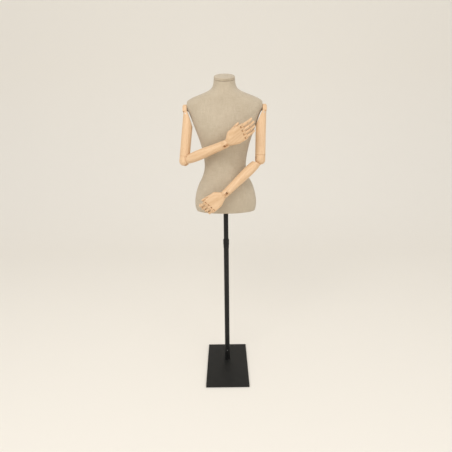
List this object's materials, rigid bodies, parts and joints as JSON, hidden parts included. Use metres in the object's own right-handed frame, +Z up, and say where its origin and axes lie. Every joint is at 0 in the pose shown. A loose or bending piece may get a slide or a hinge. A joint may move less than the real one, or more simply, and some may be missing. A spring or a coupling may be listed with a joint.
{
  "type": "dress form mannequin",
  "caption": "Headless linen-covered dress form on a telescopic black stand with a flat plate, with jointed wooden arms and hands folded across the front.",
  "frame": {"origin": "on the pole axis, at floor level under the soft sheet of the base plate", "axes": "+Z up along the pole, -Y is the front of the torso, +X is the mannequin's own left"},
  "size_m": [0.4669, 0.398, 1.7346],
  "materials": {
    "black_metal": "satin powder coat",
    "rubber": "matte",
    "linen": "plain woven linen",
    "shell": "moulded shell",
    "board": "bare board",
    "dowel_wood": "end grain",
    "steel": "zinc plated",
    "beech_wood": "sanded, clear satin lacquer"
  },
  "bodies": {
    "stand": {"base_plate": "black_metal", "base_pad": "rubber", "base_bolt": "steel", "base_socket": "black_metal", "socket_screw": "steel", "lower_tube": "black_metal", "collar_base": "black_metal", "collet": "rubber"},
    "clamp_nut": {"clamp_nut": "black_metal"},
    "post": {"upper_tube": "black_metal", "tube_cap": "rubber"},
    "torso": {"torso_core": "shell", "linen_cover": "linen", "bottom_board": "board", "pole_flange": "steel", "flange_screws": "steel", "neck_cap": "linen", "left_shoulder_plate": "steel", "right_shoulder_plate": "steel"},
    "left_shoulder": {"left_shoulder_disc": "beech_wood", "left_shoulder_pins": "steel"},
    "left_upper_arm": {"left_upper_arm": "beech_wood"},
    "left_elbow": {"left_elbow_block": "beech_wood", "left_elbow_pin": "dowel_wood"},
    "left_forearm": {"left_forearm": "beech_wood"},
    "left_wrist": {"left_wrist_block": "beech_wood", "left_wrist_pin": "dowel_wood"},
    "left_palm": {"left_palm": "beech_wood", "left_knuckle_pins": "steel"},
    "left_thumb_base": {"left_thumb_base": "beech_wood"},
    "left_thumb_tip": {"left_thumb_tip": "beech_wood"},
    "left_index_base": {"left_index_base": "beech_wood"},
    "left_index_tip": {"left_index_tip": "beech_wood"},
    "left_middle_base": {"left_middle_base": "beech_wood"},
    "left_middle_tip": {"left_middle_tip": "beech_wood"},
    "left_ring_base": {"left_ring_base": "beech_wood"},
    "left_ring_tip": {"left_ring_tip": "beech_wood"},
    "left_little_base": {"left_little_base": "beech_wood"},
    "left_little_tip": {"left_little_tip": "beech_wood"},
    "right_shoulder": {"right_shoulder_disc": "beech_wood", "right_shoulder_pins": "steel"},
    "right_upper_arm": {"right_upper_arm": "beech_wood"},
    "right_elbow": {"right_elbow_block": "beech_wood", "right_elbow_pin": "dowel_wood"},
    "right_forearm": {"right_forearm": "beech_wood"},
    "right_wrist": {"right_wrist_block": "beech_wood", "right_wrist_pin": "dowel_wood"},
    "right_palm": {"right_palm": "beech_wood", "right_knuckle_pins": "steel"},
    "right_thumb_base": {"right_thumb_base": "beech_wood"},
    "right_thumb_tip": {"right_thumb_tip": "beech_wood"},
    "right_index_base": {"right_index_base": "beech_wood"},
    "right_index_tip": {"right_index_tip": "beech_wood"},
    "right_middle_base": {"right_middle_base": "beech_wood"},
    "right_middle_tip": {"right_middle_tip": "beech_wood"},
    "right_ring_base": {"right_ring_base": "beech_wood"},
    "right_ring_tip": {"right_ring_tip": "beech_wood"},
    "right_little_base": {"right_little_base": "beech_wood"},
    "right_little_tip": {"right_little_tip": "beech_wood"}
  },
  "joints": [
    {"name": "clamp_nut_turn", "type": "hinge", "parent": "stand", "child": "clamp_nut", "pos_m": [0, 0, 0.815], "axis": [0, 0, 1], "range_deg": [0, 180]},
    {"name": "height_slide", "type": "slide", "parent": "stand", "child": "post", "axis": [0, 0, 1], "range_m": [-0.17, 0.2]},
    {"name": "torso_turn", "type": "hinge", "parent": "post", "child": "torso", "pos_m": [0, 0, 1.1], "axis": [0, 0, 1], "continuous": true},
    {"name": "left_shoulder_turn", "type": "hinge", "parent": "torso", "child": "left_shoulder", "pos_m": [0.1983, 0, 1.56], "axis": [-1, 0, 0], "range_deg": [-1, 75]},
    {"name": "left_shoulder_raise", "type": "hinge", "parent": "left_shoulder", "child": "left_upper_arm", "pos_m": [0.2055, -0.00652, 1.53174], "axis": [0, -0.9744, 0.225], "range_deg": [0, 72]},
    {"name": "left_elbow_turn", "type": "hinge", "parent": "left_upper_arm", "child": "left_elbow", "pos_m": [0.18564, -0.06109, 1.2954], "axis": [-0.0262, -0.2249, -0.974], "range_deg": [-70, 4]},
    {"name": "left_elbow_bend", "type": "hinge", "parent": "left_elbow", "child": "left_forearm", "pos_m": [0.18564, -0.06109, 1.2954], "axis": [0.2923, -0.9335, 0.2077], "range_deg": [-10, 44]},
    {"name": "left_wrist_turn", "type": "hinge", "parent": "left_forearm", "child": "left_wrist", "pos_m": [-0.00353, -0.15679, 1.13144], "axis": [0.7059, 0.3571, 0.6118], "range_deg": [-60, 80]},
    {"name": "left_wrist_bend", "type": "hinge", "parent": "left_wrist", "child": "left_palm", "pos_m": [-0.00353, -0.15679, 1.13144], "axis": [-0.608, -0.1377, 0.7819], "range_deg": [-5, 50]},
    {"name": "left_thumb_bend", "type": "hinge", "parent": "left_palm", "child": "left_thumb_base", "pos_m": [-0.06303, -0.15292, 1.12934], "axis": [0.4564, -0.2167, -0.863], "range_deg": [-1.5, 30]},
    {"name": "left_thumb_curl", "type": "hinge", "parent": "left_thumb_base", "child": "left_thumb_tip", "pos_m": [-0.0984, -0.15304, 1.11066], "axis": [0.4564, -0.2167, -0.863], "range_deg": [-8, 60]},
    {"name": "left_index_bend", "type": "hinge", "parent": "left_palm", "child": "left_index_base", "pos_m": [-0.10905, -0.16401, 1.08611], "axis": [0.7116, 0.1403, -0.6885], "range_deg": [-40, 40]},
    {"name": "left_index_curl", "type": "hinge", "parent": "left_index_base", "child": "left_index_tip", "pos_m": [-0.133, -0.14271, 1.0657], "axis": [0.7116, 0.1403, -0.6885], "range_deg": [-55, 29]},
    {"name": "left_middle_bend", "type": "hinge", "parent": "left_palm", "child": "left_middle_base", "pos_m": [-0.09482, -0.16121, 1.07234], "axis": [0.7116, 0.1403, -0.6885], "range_deg": [-40, 40]},
    {"name": "left_middle_curl", "type": "hinge", "parent": "left_middle_base", "child": "left_middle_tip", "pos_m": [-0.12065, -0.13822, 1.05032], "axis": [0.7116, 0.1403, -0.6885], "range_deg": [-55, 29]},
    {"name": "left_ring_bend", "type": "hinge", "parent": "left_palm", "child": "left_ring_base", "pos_m": [-0.08059, -0.1584, 1.05857], "axis": [0.7116, 0.1403, -0.6885], "range_deg": [-40, 40]},
    {"name": "left_ring_curl", "type": "hinge", "parent": "left_ring_base", "child": "left_ring_tip", "pos_m": [-0.10453, -0.1371, 1.03816], "axis": [0.7116, 0.1403, -0.6885], "range_deg": [-55, 29]},
    {"name": "left_little_bend", "type": "hinge", "parent": "left_palm", "child": "left_little_base", "pos_m": [-0.06635, -0.1556, 1.0448], "axis": [0.7116, 0.1403, -0.6885], "range_deg": [-40, 40]},
    {"name": "left_little_curl", "type": "hinge", "parent": "left_little_base", "child": "left_little_tip", "pos_m": [-0.08652, -0.13765, 1.02761], "axis": [0.7116, 0.1403, -0.6885], "range_deg": [-55, 29]},
    {"name": "right_shoulder_turn", "type": "hinge", "parent": "torso", "child": "right_shoulder", "pos_m": [-0.1983, 0, 1.56], "axis": [-1, 0, 0], "range_deg": [-1.5, 75]},
    {"name": "right_shoulder_raise", "type": "hinge", "parent": "right_shoulder", "child": "right_upper_arm", "pos_m": [-0.2055, -0.00454, 1.53136], "axis": [0, 0.9877, -0.1564], "range_deg": [-2, 66]},
    {"name": "right_elbow_turn", "type": "hinge", "parent": "right_upper_arm", "child": "right_elbow", "pos_m": [-0.2196, -0.04254, 1.29138], "axis": [0.1132, 0.1554, 0.9813], "range_deg": [-55, 3]},
    {"name": "right_elbow_bend", "type": "hinge", "parent": "right_elbow", "child": "right_forearm", "pos_m": [-0.2196, -0.04254, 1.29138], "axis": [0.5191, 0.8329, -0.1918], "range_deg": [-1.5, 46]},
    {"name": "right_wrist_turn", "type": "hinge", "parent": "right_forearm", "child": "right_wrist", "pos_m": [0.00324, -0.16051, 1.38223], "axis": [0.8315, -0.4402, 0.339], "range_deg": [-60, 40]},
    {"name": "right_wrist_bend", "type": "hinge", "parent": "right_wrist", "child": "right_palm", "pos_m": [0.00324, -0.16051, 1.38223], "axis": [0.5165, 0.3874, -0.7637], "range_deg": [-12, 50]},
    {"name": "right_thumb_bend", "type": "hinge", "parent": "right_palm", "child": "right_thumb_base", "pos_m": [0.02359, -0.16526, 1.43812], "axis": [-0.6948, -0.0392, 0.7182], "range_deg": [-22.5, 9]},
    {"name": "right_thumb_curl", "type": "hinge", "parent": "right_thumb_base", "child": "right_thumb_tip", "pos_m": [0.05045, -0.15236, 1.4648], "axis": [-0.6948, -0.0392, 0.7182], "range_deg": [-20, 48]},
    {"name": "right_index_bend", "type": "hinge", "parent": "right_palm", "child": "right_index_base", "pos_m": [0.0804, -0.17385, 1.46655], "axis": [-0.3956, -0.386, 0.8334], "range_deg": [-17, 48]},
    {"name": "right_index_curl", "type": "hinge", "parent": "right_index_base", "child": "right_index_tip", "pos_m": [0.1121, -0.16517, 1.48562], "axis": [-0.3956, -0.386, 0.8334], "range_deg": [-20, 64]},
    {"name": "right_middle_bend", "type": "hinge", "parent": "right_palm", "child": "right_middle_base", "pos_m": [0.08831, -0.16613, 1.44989], "axis": [-0.3956, -0.386, 0.8334], "range_deg": [-17, 48]},
    {"name": "right_middle_curl", "type": "hinge", "parent": "right_middle_base", "child": "right_middle_tip", "pos_m": [0.12252, -0.15676, 1.47046], "axis": [-0.3956, -0.386, 0.8334], "range_deg": [-20, 64]},
    {"name": "right_ring_bend", "type": "hinge", "parent": "right_palm", "child": "right_ring_base", "pos_m": [0.09623, -0.15841, 1.43322], "axis": [-0.3956, -0.386, 0.8334], "range_deg": [-17, 48]},
    {"name": "right_ring_curl", "type": "hinge", "parent": "right_ring_base", "child": "right_ring_tip", "pos_m": [0.12793, -0.14973, 1.45229], "axis": [-0.3956, -0.386, 0.8334], "range_deg": [-20, 64]},
    {"name": "right_little_bend", "type": "hinge", "parent": "right_palm", "child": "right_little_base", "pos_m": [0.10414, -0.15069, 1.41655], "axis": [-0.3956, -0.386, 0.8334], "range_deg": [-17, 48]},
    {"name": "right_little_curl", "type": "hinge", "parent": "right_little_base", "child": "right_little_tip", "pos_m": [0.13083, -0.14338, 1.43261], "axis": [-0.3956, -0.386, 0.8334], "range_deg": [-20, 64]}
  ]
}
